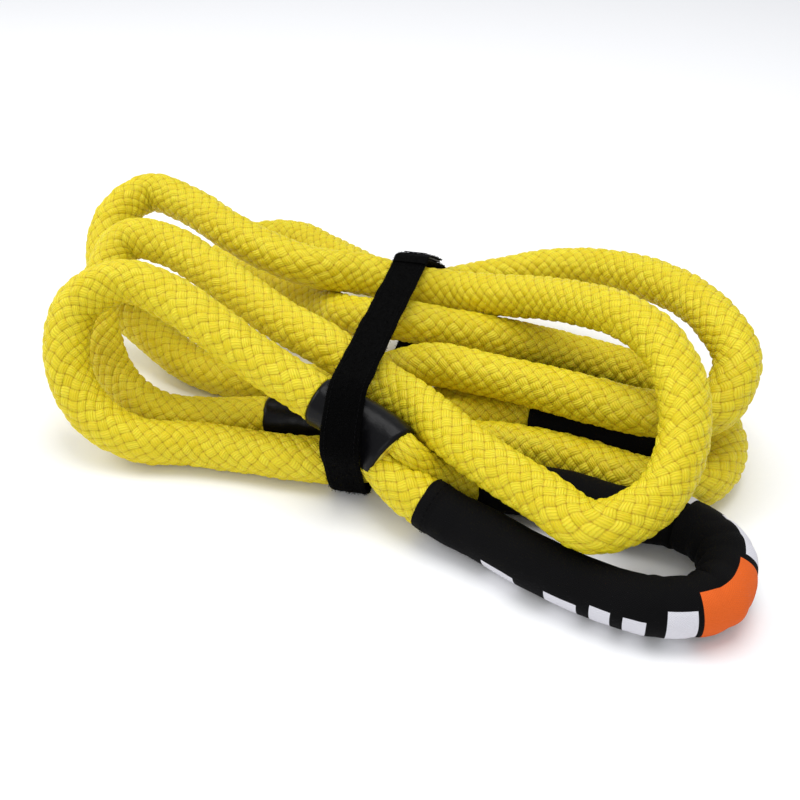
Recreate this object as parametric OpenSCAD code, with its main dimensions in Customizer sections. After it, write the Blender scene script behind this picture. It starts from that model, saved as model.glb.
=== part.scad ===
// Recovery rope hank: a double-braided rope with a spliced eye at each end,
// folded into a loose hank and held by a hook-and-loop strap.
// X runs along the hank, Y across it, Z up from the surface it lies on.

/* [Rope] */
// Diameter of the braided rope
rope_d = 24; // [23:0.1:24]
// Wall of the braided cover
cover_t = 3; // [2:0.5:5]
// Gap between the cover and the core braid
core_gap = 0.3; // [0.2:0.1:0.6]

/* [Eye splices] */
// Outer diameter of the band on the throat of each splice
band_d = 27; // [26.6:0.1:27]
// Wall of the band
band_t = 1; // [0.8:0.1:1.2]
// Half the distance between the two legs of an eye where they leave the throat
leg_offset = 8; // [8:0.5:9]
// Clear length left at the throat for the legs to bend
leg_gap = 6; // [5:0.5:8]
// Diameter of the lock-stitch twine
twine_d = 0.7; // [0.5:0.1:0.8]
// Number of turns of twine in each lock stitch
twine_turns = 4; // [2:1:5]

/* [Sleeves] */
// Wall of the woven sleeve on each eye
sleeve_t = 1.2; // [0.8:0.1:1.3]

/* [Strap] */
// Width of the strap
strap_w = 20; // [16:1:24]
// Thickness of the strap
strap_t = 2; // [1.5:0.1:2]
// Turn of the strap's plane about the vertical
strap_turn = 25; // [24:0.5:26]
// Length of the free tab
tab_len = 46; // [30:1:50]
// Thickness of the tab
tab_t = 1.5; // [1:0.1:2]
// Thickness of the hook strip under the tab
hook_t = 0.9; // [0.6:0.1:1.2]

/* [Hidden] */

sides = 12;
throat_sides = 24;
rope_r = rope_d / 2;
core_r = rope_r - cover_t;
band_r = band_d / 2;
throat_r = band_r - band_t - 1.3;
leg_r = leg_offset - 0.4;
sleeve_gap = 0.3;
stitch_clear = 0.15;
strap_clear = 0.5;
bend_room = 1.5;
band_room = 5;
tab_clear = 1.2;
tack_w = 14;

yellow = "#E9DC1F";
core_yellow = "#D8CB3A";
gloss_black = "#0E0E11";
cloth_black = "#17161A";
pile_black = "#0A0A0B";

// Routes of the rope's centre line, from splice A to splice B. Each bight starts where the one
// before it ends, in the plane of the strap, so its first point is left out here.
throat_a_route = [[46, -66, 34], [33, -64, 39], [19, -65, 44], [0, -68, 50]];
front_left_route = [
    [-38, -74, 63], [-66, -76, 73], [-95, -78, 81], [-123, -86, 85], [-139, -106, 73],
    [-132, -123, 49], [-113, -127, 27], [-87, -119, 15], [-63, -102, 13], [-36, -89, 13],
    [-8, -77, 14], [18, -61, 15]];
low_right_route = [
    [36, -36, 15], [57, -12, 15], [83, 4, 14], [113, 13, 14], [144, 18, 14],
    [168, 36, 13], [166, 66, 16], [144, 87, 21], [114, 93, 24], [83, 88, 26], [53, 79, 28],
    [26, 64, 33], [0, 47, 38], [-25, 29, 44]];
rear_left_route = [
    [-55, 22, 39], [-85, 30, 32], [-116, 36, 29], [-147, 41, 24], [-174, 45, 19],
    [-197, 55, 14], [-211, 77, 13], [-207, 102, 14], [-184, 117, 15],
    [-155, 114, 15], [-123, 108, 16], [-92, 104, 17], [-60, 106, 20]];
outer_right_route = [
    [-32, 112, 31], [-4, 119, 43], [25, 126, 54], [55, 127, 62], [85, 121, 68],
    [114, 110, 72], [140, 92, 73], [162, 72, 66], [163, 46, 51], [137, 34, 44], [106, 28, 42],
    [75, 23, 41], [45, 17, 40], [14, 11, 37], [-13, 5, 24]];
tall_left_route = [
    [-39, -11, 15], [-65, -28, 12], [-93, -40, 12], [-124, -45, 12], [-155, -44, 19],
    [-184, -43, 31], [-203, -37, 53], [-214, -16, 72], [-208, 9, 81], [-178, 16, 77],
    [-147, 14, 72], [-117, 15, 67], [-86, 22, 62], [-64, 44, 55], [-39, 60, 49]];
front_right_route = [
    [-12, 74, 47], [18, 74, 55], [48, 70, 65], [77, 61, 75], [105, 50, 83],
    [133, 37, 84], [156, 18, 76], [170, -5, 61], [172, -32, 47], [156, -58, 40], [126, -55, 41],
    [95, -51, 43], [65, -44, 44], [35, -35, 45], [4, -32, 48]];
middle_left_route = [
    [-26, -33, 56], [-57, -33, 60], [-88, -31, 65], [-118, -29, 71], [-149, -29, 76],
    [-175, -40, 76], [-173, -64, 57], [-157, -82, 37], [-134, -91, 19], [-104, -92, 12],
    [-75, -80, 12], [-46, -60, 14]];
throat_b_route = [[-28, -50, 15], [-12, -39, 16], [3, -28, 17]];

// Routes of the two eyes, from the first leg round the bow to the second leg
eye_a_route = [
    [60, -71, 22], [71, -70, 19], [86, -69, 16], [101, -68, 15], [131, -70, 15], [161, -69, 15],
    [191, -62, 15], [211, -42, 16], [203, -14, 17], [176, -2, 15], [149, -12, 14], [119, -18, 14],
    [95, -29, 14], [80, -38, 14], [70, -46, 17], [62, -55, 26]];
eye_b_route = [
    [26, -10, 15], [42, 10, 14], [70, 27, 14], [99, 37, 14], [120, 42, 14], [130, 54, 14],
    [120, 67, 14], [99, 68, 14], [70, 58, 14], [45, 42, 14], [26, 22, 14], [14, 0, 15]];

rope_route = concat(
    throat_a_route, front_left_route, low_right_route, rear_left_route, outer_right_route,
    tall_left_route, front_right_route, middle_left_route, throat_b_route);

// Index in rope_route of the last point of each piece
throat_a_end = len(throat_a_route) - 1;
front_left_end = throat_a_end + len(front_left_route);
low_right_end = front_left_end + len(low_right_route);
rear_left_end = low_right_end + len(rear_left_route);
outer_right_end = rear_left_end + len(outer_right_route);
tall_left_end = outer_right_end + len(tall_left_route);
front_right_end = tall_left_end + len(front_right_route);
middle_left_end = front_right_end + len(middle_left_route);
rope_end = len(rope_route) - 1;
band_crossing = 2;

// Vectors
up = [0, 0, 1];
function unit(v) = v / norm(v);
function across(v, t) = unit(v - (v * t) * t);
function tangent(route, i) =
    unit(route[min(i + 1, len(route) - 1)] - route[max(i - 1, 0)]);
function part_of(list, from, to) = [for (i = [from:to]) list[i]];

// Side vector at each point from one to another, carried along the route without twist
function carried(route, from, to, side) =
    from > to ? [] :
    let (s = across(side, tangent(route, from)))
    concat([s], carried(route, from + 1, to, s));

// One ring of n points round p: ra along the side vector s, rb across it
function ring(p, t, s, ra, rb, n) =
    let (w = cross(t, s))
    [for (k = [0:n - 1]) let (a = 360 * k / n) p + ra * cos(a) * s + rb * sin(a) * w];

// Rings along a route between two of its points. radii holds [ra, rb] for each ring.
function rings(route, from, to, side, radii, n) =
    let (c = carried(route, from, to, side))
    [for (i = [from:to])
        ring(route[i], tangent(route, i), c[i - from], radii[i - from][0], radii[i - from][1], n)];

function even(from, to, r) = [for (i = [from:to]) [r, r]];
function wider(radii, d) = [for (r = radii) [r[0] + d, r[1] + d]];

// Faces between rings of n points that follow each other from point number base on
function wall(count, n, base, inward) =
    [for (i = [0:count - 2]) for (k = [0:n - 1])
        let (a = base + i * n + k, b = base + i * n + (k + 1) % n, c = a + n, d = b + n)
        each inward ? [[a, b, c], [b, d, c]] : [[a, c, b], [b, c, d]]];

module solid_sweep(list) {
    n = len(list[0]);
    last = (len(list) - 1) * n;
    polyhedron(
        points = [for (r = list) each r],
        faces = concat(
            wall(len(list), n, 0, false),
            [[for (k = [0:n - 1]) k]],
            [[for (k = [n - 1:-1:0]) last + k]]));
}

module tube_sweep(outer, inner) {
    n = len(outer[0]);
    count = len(outer);
    total = count * n;
    last = total - n;
    polyhedron(
        points = concat([for (r = outer) each r], [for (r = inner) each r]),
        faces = concat(
            wall(count, n, 0, false),
            wall(count, n, total, true),
            [for (k = [0:n - 1]) let (j = (k + 1) % n)
                each [[k, j, total + k], [j, total + j, total + k]]],
            [for (k = [0:n - 1]) let (j = (k + 1) % n, a = last + k, b = last + j)
                each [[a, total + a, b], [b, total + a, total + b]]]));
}

// The rope's bights, cover and core
module bight_cover(from, to)
    color(yellow) tube_sweep(
        rings(rope_route, from, to, up, even(from, to, rope_r), sides),
        rings(rope_route, from, to, up, even(from, to, core_r), sides));

module bight_core(from, to)
    color(core_yellow) solid_sweep(
        rings(rope_route, from, to, up, even(from, to, core_r - core_gap), sides));

module front_left_bight_cover() bight_cover(throat_a_end, front_left_end);
module low_right_bight_cover() bight_cover(front_left_end, low_right_end);
module rear_left_bight_cover() bight_cover(low_right_end, rear_left_end);
module outer_right_bight_cover() bight_cover(rear_left_end, outer_right_end);
module tall_left_bight_cover() bight_cover(outer_right_end, tall_left_end);
module front_right_bight_cover() bight_cover(tall_left_end, front_right_end);
module middle_left_bight_cover() bight_cover(front_right_end, middle_left_end);
module front_left_bight_core() bight_core(throat_a_end, front_left_end);
module low_right_bight_core() bight_core(front_left_end, low_right_end);
module rear_left_bight_core() bight_core(low_right_end, rear_left_end);
module outer_right_bight_core() bight_core(rear_left_end, outer_right_end);
module tall_left_bight_core() bight_core(outer_right_end, tall_left_end);
module front_right_bight_core() bight_core(tall_left_end, front_right_end);
module middle_left_bight_core() bight_core(front_right_end, middle_left_end);

// Each splice's throat: round where the rope enters it, oval where the two legs leave it.
// The oval's long side runs from leg to leg.
legs_a = across([-0.38, -0.5, -0.78], tangent(rope_route, 0));
legs_b = across([0.6, -0.8, 0], tangent(rope_route, rope_end));
mouth_half = leg_offset + leg_r;
throat_radii = [[mouth_half, throat_r], [13, throat_r], [throat_r, throat_r], [throat_r, throat_r]];
throat_radii_b = [for (i = [3:-1:0]) throat_radii[i]];

function throat_a_rings(d) =
    rings(rope_route, 0, throat_a_end, legs_a, wider(throat_radii, d), throat_sides);
function throat_b_rings(d) =
    rings(rope_route, middle_left_end, rope_end, legs_b, wider(throat_radii_b, d), throat_sides);

module splice_throat(outer, inner) color(yellow) tube_sweep(outer, inner);
module splice_tail(list) color(core_yellow) solid_sweep(list);
module splice_band(outer, inner) color(gloss_black) tube_sweep(outer, inner);

// Turns of twine round the throat, each square to the rope, from one route point towards the next
module lock_stitch(from, to) {
    t = unit(rope_route[to] - rope_route[from]);
    turn = across(up, t);
    for (k = [1:twine_turns])
        translate(rope_route[from] + (2.5 + 2 * k) * t)
            multmatrix([for (i = [0:2]) [turn[i], cross(t, turn)[i], t[i], 0]])
                color(cloth_black) rotate_extrude($fn = 48)
                    translate([throat_r + stitch_clear + twine_d / 2, 0]) circle(d = twine_d, $fn = 16);
}

module splice_a_throat() splice_throat(throat_a_rings(0), throat_a_rings(-cover_t));
module splice_b_throat() splice_throat(throat_b_rings(0), throat_b_rings(-cover_t));
module splice_a_tail() splice_tail(throat_a_rings(-cover_t - core_gap));
module splice_b_tail() splice_tail(throat_b_rings(-cover_t - core_gap));
module splice_a_lock_stitch() lock_stitch(throat_a_end, throat_a_end - 1);
module splice_b_lock_stitch() lock_stitch(middle_left_end, middle_left_end + 1);
module splice_a_band()
    splice_band(throat_a_rings(band_r - throat_r), throat_a_rings(band_r - throat_r - band_t));
module splice_b_band()
    splice_band(throat_b_rings(band_r - throat_r), throat_b_rings(band_r - throat_r - band_t));

// The eyes. Their legs start thin, side by side, and swell to the full rope.
function with_legs(route, mouth, t, legs) = concat(
    [mouth + leg_gap * t + leg_offset * legs], route, [mouth + leg_gap * t - leg_offset * legs]);
eye_a_line = with_legs(eye_a_route, rope_route[0], -tangent(rope_route, 0), legs_a);
eye_b_line = with_legs(eye_b_route, rope_route[rope_end], tangent(rope_route, rope_end), legs_b);
leg_radii = [leg_r, leg_r, 9.7];
function leg_radius(i, count) =
    let (k = min(i, count - 1 - i)) k < len(leg_radii) ? leg_radii[k] : rope_r;
function eye_rings(line, from, to, d) =
    let (n = len(line), r = [for (i = [0:n - 1]) let (q = leg_radius(i, n) + d) [q, q]])
    part_of(rings(line, 0, n - 1, up, r, sides), from, to);

module eye_cover(line)
    color(yellow) tube_sweep(
        eye_rings(line, 0, len(line) - 1, 0), eye_rings(line, 0, len(line) - 1, -cover_t));
module eye_core(line)
    color(core_yellow) solid_sweep(eye_rings(line, 0, len(line) - 1, -cover_t - core_gap));
module eye_sleeve(line, from, to)
    color(cloth_black) tube_sweep(
        eye_rings(line, from, to, sleeve_gap + sleeve_t), eye_rings(line, from, to, sleeve_gap));

module eye_a_cover() eye_cover(eye_a_line);
module eye_b_cover() eye_cover(eye_b_line);
module eye_a_core() eye_core(eye_a_line);
module eye_b_core() eye_core(eye_b_line);
module eye_a_sleeve() eye_sleeve(eye_a_line, 2, len(eye_a_line) - 4);
module eye_b_sleeve() eye_sleeve(eye_b_line, 3, len(eye_b_line) - 4);

// The strap. Its plane stands on the surface, turned about Z, with its own axes:
// u along the surface, Z up and n along the bundle.
strap_at = [-11, 0, 0];
strap_u = [-sin(strap_turn), cos(strap_turn), 0];
strap_n = [cos(strap_turn), sin(strap_turn), 0];
// Each crossing: index in rope_route and radius of what crosses there, with room where it bends
crossings = [
    [band_crossing, band_r + band_room], [front_left_end, rope_r], [low_right_end, rope_r],
    [rear_left_end, rope_r + bend_room], [outer_right_end, rope_r],
    [tall_left_end, rope_r + bend_room], [front_right_end, rope_r], [rope_end, band_r]];
function on_strap(p) = [(p - strap_at) * strap_u, p[2]];
// Where the centre line leaves one edge of the strap (side -1) or the other (side 1)
function at_edge(i, side) =
    let (t = tangent(rope_route, i), k = side * strap_w / 2 / (t * strap_n))
    on_strap(rope_route[i] + k * t);

module strap_outline(d)
    hull() for (c = crossings) for (side = [-1, 1])
        translate(at_edge(c[0], side)) circle(c[1] + strap_clear + d, $fn = 64);

module in_strap_plane()
    translate(strap_at) rotate([90, 0, 90 + strap_turn]) children();

module strap_loop()
    color(pile_black) in_strap_plane()
        linear_extrude(strap_w, center = true) difference() {
            strap_outline(strap_t);
            strap_outline(0);
        }

// The tab lies on the straight back slope between the top crossing and the rear one
tab_top = on_strap(rope_route[tall_left_end]);
tab_low = on_strap(rope_route[rear_left_end]);
tab_dir = unit(tab_low - tab_top);
tab_out = [-tab_dir[1], tab_dir[0]];
tab_root = tab_top + (rope_r + bend_room + strap_clear + strap_t + tab_clear) * tab_out;

module on_tab(along, out)
    in_strap_plane() translate(tab_root + along * tab_dir + out * tab_out)
        rotate(atan2(tab_dir[1], tab_dir[0])) children();

module strap_tab()
    color(pile_black) on_tab(0, hook_t + 0.1)
        linear_extrude(strap_w, center = true) hull() {
            translate([tab_t / 2, tab_t / 2]) circle(tab_t / 2, $fn = 24);
            translate([tab_len - tab_t / 2, tab_t / 2]) circle(tab_t / 2, $fn = 24);
        }
module strap_tab_hooks()
    color(cloth_black) on_tab(3, 0)
        linear_extrude(strap_w - 2, center = true) square([tab_len - 6, hook_t]);
module strap_tab_stitching()
    color(cloth_black) on_tab(3, hook_t + 0.1 + tab_t + 0.05)
        linear_extrude(tack_w, center = true) difference() {
            square([tack_w, 0.4]);
            translate([1, -1]) square([tack_w - 2, 2]);
        }

front_left_bight_cover();
middle_left_bight_cover();
tall_left_bight_cover();
rear_left_bight_cover();
front_right_bight_cover();
outer_right_bight_cover();
low_right_bight_cover();
front_left_bight_core();
middle_left_bight_core();
tall_left_bight_core();
rear_left_bight_core();
front_right_bight_core();
outer_right_bight_core();
low_right_bight_core();
splice_a_throat();
splice_b_throat();
splice_a_tail();
splice_b_tail();
splice_a_lock_stitch();
splice_b_lock_stitch();
splice_a_band();
splice_b_band();
eye_a_cover();
eye_b_cover();
eye_a_core();
eye_b_core();
eye_a_sleeve();
eye_b_sleeve();
strap_loop();
strap_tab();
strap_tab_hooks();
strap_tab_stitching();
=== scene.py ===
"""A double-braided recovery rope in a loose hank: the finished look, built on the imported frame.

All places are in metres. X runs along the hank, Y across it and Z up from the surface it lies on.
"""
import math
import bmesh
import bpy
from mathutils import Matrix, Vector, noise


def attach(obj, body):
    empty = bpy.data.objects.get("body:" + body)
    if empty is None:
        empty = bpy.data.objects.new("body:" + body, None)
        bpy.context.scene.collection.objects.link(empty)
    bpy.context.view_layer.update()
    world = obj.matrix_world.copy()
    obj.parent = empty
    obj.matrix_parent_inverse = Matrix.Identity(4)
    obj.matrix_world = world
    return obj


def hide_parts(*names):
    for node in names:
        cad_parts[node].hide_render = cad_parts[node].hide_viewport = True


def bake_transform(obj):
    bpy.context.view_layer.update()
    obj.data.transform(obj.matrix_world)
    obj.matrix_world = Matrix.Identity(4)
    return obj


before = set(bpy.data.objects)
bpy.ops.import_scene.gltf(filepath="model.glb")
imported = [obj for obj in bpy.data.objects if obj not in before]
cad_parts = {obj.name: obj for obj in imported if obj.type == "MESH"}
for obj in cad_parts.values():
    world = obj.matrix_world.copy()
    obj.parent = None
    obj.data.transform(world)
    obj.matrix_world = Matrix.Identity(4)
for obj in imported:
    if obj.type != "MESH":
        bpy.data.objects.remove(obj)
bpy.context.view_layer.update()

MM = 0.001
ROPE_R = 12 * MM
SWELL = 0.5 * MM  # how far the plump strands stand out of the nominal round
PITCH = 75 * MM  # a strand goes once round the rope in this length
STRANDS_EACH_WAY = 10
UP = Vector((0, 0, 1))

# ---------------------------------------------------------------- routes, as the frame has them
THROAT_A = [[46, -66, 34], [33, -64, 39], [19, -65, 44], [0, -68, 50]]
BIGHTS = [
    ("front_left_bight", [
        [-38, -74, 63], [-66, -76, 73], [-95, -78, 81], [-123, -86, 85], [-139, -106, 73],
        [-132, -123, 49], [-113, -127, 27], [-87, -119, 15], [-63, -102, 13], [-36, -89, 13],
        [-8, -77, 14], [18, -61, 15]]),
    ("low_right_bight", [
        [36, -36, 15], [57, -12, 15], [83, 4, 14], [113, 13, 14], [144, 18, 14],
        [168, 36, 13], [166, 66, 16], [144, 87, 21], [114, 93, 24], [83, 88, 26], [53, 79, 28],
        [26, 64, 33], [0, 47, 38], [-25, 29, 44]]),
    ("rear_left_bight", [
        [-55, 22, 39], [-85, 30, 32], [-116, 36, 29], [-147, 41, 24], [-174, 45, 19],
        [-197, 55, 14], [-211, 77, 13], [-207, 102, 14], [-184, 117, 15],
        [-155, 114, 15], [-123, 108, 16], [-92, 104, 17], [-60, 106, 20]]),
    ("outer_right_bight", [
        [-32, 112, 31], [-4, 119, 43], [25, 126, 54], [55, 127, 62], [85, 121, 68],
        [114, 110, 72], [140, 92, 73], [162, 72, 66], [163, 46, 51], [137, 34, 44], [106, 28, 42],
        [75, 23, 41], [45, 17, 40], [14, 11, 37], [-13, 5, 24]]),
    ("tall_left_bight", [
        [-39, -11, 15], [-65, -28, 12], [-93, -40, 12], [-124, -45, 12], [-155, -44, 19],
        [-184, -43, 31], [-203, -37, 53], [-214, -16, 72], [-208, 9, 81], [-178, 16, 77],
        [-147, 14, 72], [-117, 15, 67], [-86, 22, 62], [-64, 44, 55], [-39, 60, 49]]),
    ("front_right_bight", [
        [-12, 74, 47], [18, 74, 55], [48, 70, 65], [77, 61, 75], [105, 50, 83],
        [133, 37, 84], [156, 18, 76], [170, -5, 61], [172, -32, 47], [156, -58, 40],
        [126, -55, 41], [95, -51, 43], [65, -44, 44], [35, -35, 45], [4, -32, 48]]),
    ("middle_left_bight", [
        [-26, -33, 56], [-57, -33, 60], [-88, -31, 65], [-118, -29, 71], [-149, -29, 76],
        [-175, -40, 76], [-173, -64, 57], [-157, -82, 37], [-134, -91, 19], [-104, -92, 12],
        [-75, -80, 12], [-46, -60, 14]]),
]
THROAT_B = [[-28, -50, 15], [-12, -39, 16], [3, -28, 17]]
EYE_A = [
    [60, -71, 22], [71, -70, 19], [86, -69, 16], [101, -68, 15], [131, -70, 15], [161, -69, 15],
    [191, -62, 15], [211, -42, 16], [203, -14, 17], [176, -2, 15], [149, -12, 14],
    [119, -18, 14], [95, -29, 14], [80, -38, 14], [70, -46, 17], [62, -55, 26]]
EYE_B = [
    [26, -10, 15], [42, 10, 14], [70, 27, 14], [99, 37, 14], [120, 42, 14], [130, 54, 14],
    [120, 67, 14], [99, 68, 14], [70, 58, 14], [45, 42, 14], [26, 22, 14], [14, 0, 15]]
LEG_OFFSET, LEG_GAP = 8 * MM, 6 * MM


def metres(points):
    return [Vector(p) * MM for p in points]


ROPE = metres(THROAT_A + [p for _, part in BIGHTS for p in part] + THROAT_B)


# ---------------------------------------------------------------- lines and sweeps
def smooth(points, steps=12):
    """The points of one smooth curve through the given ones."""
    ends = [2 * points[0] - points[1], *points, 2 * points[-1] - points[-2]]
    line = []
    for a, b, c, d in zip(ends, ends[1:], ends[2:], ends[3:]):
        for k in range(steps):
            t = k / steps
            line.append(0.5 * (2 * b + (c - a) * t + (2 * a - 5 * b + 4 * c - d) * t * t
                               + (3 * b - a - 3 * c + d) * t ** 3))
    return line + [points[-1]]


def length_of(line):
    return sum((b - a).length for a, b in zip(line, line[1:]))


def tangents(line):
    return [(line[min(i + 1, len(line) - 1)] - line[max(i - 1, 0)]).normalized()
            for i in range(len(line))]


def frames(line, side):
    """Tangent, side and third vector at each point, carried along without twist."""
    out = []
    for t in tangents(line):
        side = (side - side.dot(t) * t).normalized()
        out.append((t, side, t.cross(side)))
    return out


def resampled(line, spacing):
    total = length_of(line)
    count = max(2, round(total / spacing))
    out, i, done = [line[0]], 0, 0.0
    for k in range(1, count):
        goal = total * k / count
        while done + (line[i + 1] - line[i]).length < goal:
            done += (line[i + 1] - line[i]).length
            i += 1
        out.append(line[i].lerp(line[i + 1], (goal - done) / (line[i + 1] - line[i]).length))
    return out + [line[-1]]


def put(name, mesh, *materials):
    obj = bpy.data.objects.new(name, mesh)
    bpy.context.scene.collection.objects.link(obj)
    if materials:
        mesh.materials.clear()
        for m in materials:
            mesh.materials.append(m)
    return obj


def tube_mesh(name, rings, uvs=None, closed_ends=True):
    """A mesh over rings of points, each ring going round anticlockwise as seen from its end."""
    n = len(rings[0])
    bm = bmesh.new()
    rows = [[bm.verts.new(p) for p in ring] for ring in rings]
    layer = bm.loops.layers.uv.new("cloth") if uvs else None
    for i in range(len(rings) - 1):
        for k in range(n):
            q = (k + 1) % n
            face = bm.faces.new((rows[i][k], rows[i][q], rows[i + 1][q], rows[i + 1][k]))
            face.smooth = True
            if layer:
                corners = ((i, k), (i, k + 1), (i + 1, k + 1), (i + 1, k))
                for loop, (r, c) in zip(face.loops, corners):
                    loop[layer].uv = uvs(r, c)
    if closed_ends:
        bm.faces.new(list(reversed(rows[0])))
        bm.faces.new(rows[-1])
    mesh = bpy.data.meshes.new(name)
    bm.to_mesh(mesh)
    bm.free()
    return mesh


# ---------------------------------------------------------------- camera
TARGET = Vector((0.006, -0.008, 0.020))
AZIMUTH, ELEVATION, DISTANCE = math.radians(38), math.radians(34), 0.62
camera = bpy.data.objects.new("camera", bpy.data.cameras.new("camera"))
camera.data.lens = 50
camera.data.sensor_width = 36
away = Vector((math.sin(AZIMUTH) * math.cos(ELEVATION),
               -math.cos(AZIMUTH) * math.cos(ELEVATION), math.sin(ELEVATION)))
camera.location = TARGET + DISTANCE * away
camera.rotation_euler = (-away).to_track_quat("-Z", "Y").to_euler()
bpy.context.scene.collection.objects.link(camera)
bpy.context.scene.camera = camera


# ---------------------------------------------------------------- node trees
def linear(code):
    """A linear colour from an sRGB hex value."""
    parts = [int(code[k:k + 2], 16) / 255 for k in (1, 3, 5)]
    return [c / 12.92 if c <= 0.04045 else ((c + 0.055) / 1.055) ** 2.4 for c in parts] + [1.0]


MATH, MIX = "ShaderNodeMath", "ShaderNodeMix"


def wire(tree, node, inputs):
    """Fill a node's inputs, in order or by key, each with a value, a colour as sRGB hex, another
    node's output, or a node, which stands for its first output."""
    for key, value in inputs.items() if isinstance(inputs, dict) else enumerate(inputs):
        if isinstance(value, bpy.types.Node):
            value = value.outputs[0]
        if isinstance(value, bpy.types.NodeSocket):
            tree.links.new(value, node.inputs[key])
        else:
            colour = isinstance(value, str) and value.startswith("#")
            node.inputs[key].default_value = linear(value) if colour else value


def add(tree, kind, inputs=(), **settings):
    """A node of that kind with its settings and what goes into it."""
    node = tree.nodes.new(kind)
    for name, value in settings.items():
        setattr(node, name, value)
    wire(tree, node, inputs)
    return node


def braid(tree, around, turns):
    """The weave of the cover at a place: turns round the rope and turns of the lay along it.
    Each strand goes over one and under one. Gives the place across the strand that lies on top
    (0 to 1), a number for its float, the float's height (0 to 1), how near a corner it is, where
    four floats meet (0 to 1), and which way the strand runs (0 or 1)."""
    # A hand-packed braid is never even: its cells drift by up to 0.025 of a turn
    slow = add(tree, MATH, [
        add(tree, MATH,
            [around, 6 * math.pi, add(tree, MATH, [turns, 3.1], operation="MULTIPLY")],
            operation="MULTIPLY_ADD")], operation="SINE")
    quick = add(tree, MATH, [
        add(tree, MATH,
            [around, -10 * math.pi, add(tree, MATH, [turns, 23.0], operation="MULTIPLY")],
            operation="MULTIPLY_ADD")], operation="SINE")
    drift = add(tree, MATH, [slow, 0.016, add(tree, MATH, [quick, 0.009], operation="MULTIPLY")],
        operation="MULTIPLY_ADD")
    one_way = add(tree, MATH, [
        add(tree, MATH, [add(tree, MATH, [around, turns], operation="ADD"), drift],
            operation="ADD"), STRANDS_EACH_WAY], operation="MULTIPLY")
    other = add(tree, MATH, [
        add(tree, MATH, [add(tree, MATH, [around, turns], operation="SUBTRACT"),
            add(tree, MATH, [drift, 0.6], operation="MULTIPLY")], operation="SUBTRACT"),
        STRANDS_EACH_WAY], operation="MULTIPLY")
    cells = add(tree, MATH, [add(tree, MATH, [one_way], operation="FLOOR"),
        add(tree, MATH, [other], operation="FLOOR")], operation="ADD")
    on_top = add(tree, MATH, [add(tree, MATH, [cells, 2], operation="FLOORED_MODULO"), 0.5],
        operation="LESS_THAN")
    part_one = add(tree, MATH, [one_way], operation="FRACT")
    part_other = add(tree, MATH, [other], operation="FRACT")
    gap = add(tree, MATH, [part_one, part_other], operation="SUBTRACT")
    across = add(tree, MATH, [on_top, gap, part_other], operation="MULTIPLY_ADD")
    along = add(tree, MATH, [add(tree, MATH, [part_one, part_other], operation="ADD"), across],
        operation="SUBTRACT")
    lap = add(tree, MATH, [add(tree, MATH, [one_way], operation="FLOOR"), STRANDS_EACH_WAY],
        operation="FLOORED_MODULO")
    lap_other = add(tree, MATH, [add(tree, MATH, [other], operation="FLOOR"), STRANDS_EACH_WAY],
        operation="FLOORED_MODULO")
    number = add(tree, MATH, [lap, 17, lap_other], operation="MULTIPLY_ADD")
    wide = add(tree, MATH, [add(tree, MATH, [across, 2, -1], operation="MULTIPLY_ADD")],
        operation="ABSOLUTE")
    long = add(tree, MATH, [add(tree, MATH, [along, 2, -1], operation="MULTIPLY_ADD")],
        operation="ABSOLUTE")
    dome = add(tree, MATH, [1, add(tree, MATH, [wide, 2.6], operation="POWER")],
        operation="SUBTRACT")
    dip = add(tree, MATH, [1, add(tree, MATH, [long, 3.5], operation="POWER")],
        operation="SUBTRACT")
    height = add(tree, MATH, [
        add(tree, MATH, [add(tree, MATH, [dome, dip], operation="MULTIPLY"), 0],
            operation="MAXIMUM"), 0.6], operation="POWER")
    corner = add(tree, MATH, [add(tree, MATH, [wide, long], operation="MULTIPLY"), 4],
        operation="POWER")
    return across, number, height, corner, on_top


# ---------------------------------------------------------------- materials
def surface(name, colour, roughness, **plain):
    """An empty material with its surface shader; plain holds the sockets that are constant."""
    material = bpy.data.materials.new(name)
    material.use_nodes = True
    tree = material.node_tree
    shader = tree.nodes["Principled BSDF"]
    shader.inputs["Base Color"].default_value = linear(colour)
    shader.inputs["Roughness"].default_value = roughness
    for key, value in plain.items():
        shader.inputs[key.replace("_", " ")].default_value = value
    return material, tree, shader


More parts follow.
